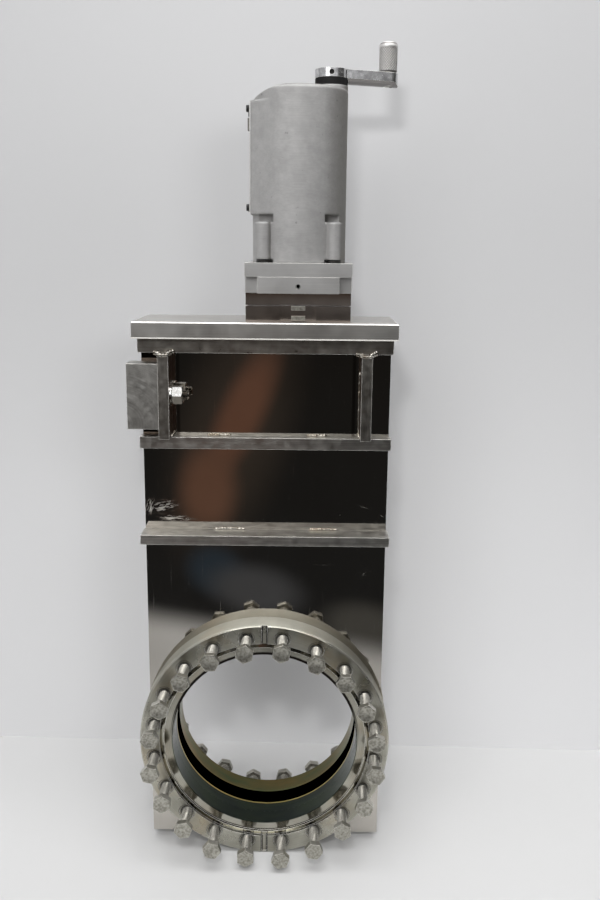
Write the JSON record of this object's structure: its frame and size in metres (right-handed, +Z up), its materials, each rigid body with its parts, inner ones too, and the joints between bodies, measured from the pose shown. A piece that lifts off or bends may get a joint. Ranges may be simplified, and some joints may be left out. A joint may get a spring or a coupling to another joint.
{
  "type": "vacuum gate valve",
  "caption": "Flat welded steel body with a bolted round port flange on each face, ribs, a bonnet plate and an offset cylindrical hand-crank actuator on top.",
  "frame": {"origin": "centre of the back flange's face, the face that bolts to a chamber", "axes": "+X to the right seen from the front, +Y out of the back flange's face along the port's axis, +Z up towards the actuator"},
  "size_m": [0.2047, 0.127, 0.644],
  "materials": {
    "mirror_steel": "mirror polished stainless steel that looks near black",
    "seat_steel": "polished stainless steel with a heat tint",
    "turned_steel": "turned stainless steel",
    "bolt_steel": "plain stainless steel",
    "rib_steel": "satin stainless steel",
    "bonnet_steel": "ground stainless steel",
    "gasket_metal": "plain metal",
    "block_steel": "sawn stainless steel with smears",
    "neck_steel": "mirror polished stainless steel that looks dark brown",
    "machined_aluminium": "machined and lightly brushed",
    "cast_aluminium": "sand cast and bead blasted",
    "polished_aluminium": "polished",
    "knob_aluminium": "finely knurled",
    "black_steel": "blackened steel",
    "black_plastic": "matt black"
  },
  "bodies": {
    "valve": {"front_plate": "mirror_steel", "back_plate": "mirror_steel", "left_bar": "mirror_steel", "right_bar": "mirror_steel", "bottom_bar": "mirror_steel", "seat_ring": "seat_steel", "front_flange": "turned_steel", "back_flange": "turned_steel", "front_flange_bolts": "bolt_steel", "back_flange_bolts": "bolt_steel", "middle_rib_front": "rib_steel", "middle_rib_back": "rib_steel", "lower_rib_front": "rib_steel", "lower_rib_back": "rib_steel", "upright_ribs_front": "rib_steel", "upright_ribs_back": "rib_steel", "top_flange": "rib_steel", "bonnet_gasket": "gasket_metal", "bonnet_plate": "bonnet_steel", "side_block": "block_steel", "side_block_bolt": "bolt_steel", "side_block_nut": "bolt_steel", "side_block_washer": "bolt_steel", "neck_lower": "neck_steel", "neck_upper": "neck_steel", "neck_bars": "bolt_steel", "lower_base": "machined_aluminium", "upper_base": "machined_aluminium", "base_screws": "black_steel", "housing": "cast_aluminium", "side_cover": "cast_aluminium", "side_cover_screws": "black_steel", "indicator_tab": "black_steel", "bearing_disc": "black_plastic"},
    "crank": {"crank_shaft": "bolt_steel", "crank_arm": "polished_aluminium", "crank_set_screw": "black_steel", "crank_pin": "bolt_steel"},
    "knob": {"crank_knob": "knob_aluminium"}
  },
  "joints": [
    {"name": "crank_turn", "type": "hinge", "parent": "valve", "child": "crank", "pos_m": [0.0468, -0.035, 0.52], "axis": [0, 0, 1], "continuous": true},
    {"name": "knob_spin", "type": "hinge", "parent": "crank", "child": "knob", "pos_m": [0.08909, -0.02085, 0.53], "axis": [0, 0, 1], "continuous": true}
  ]
}
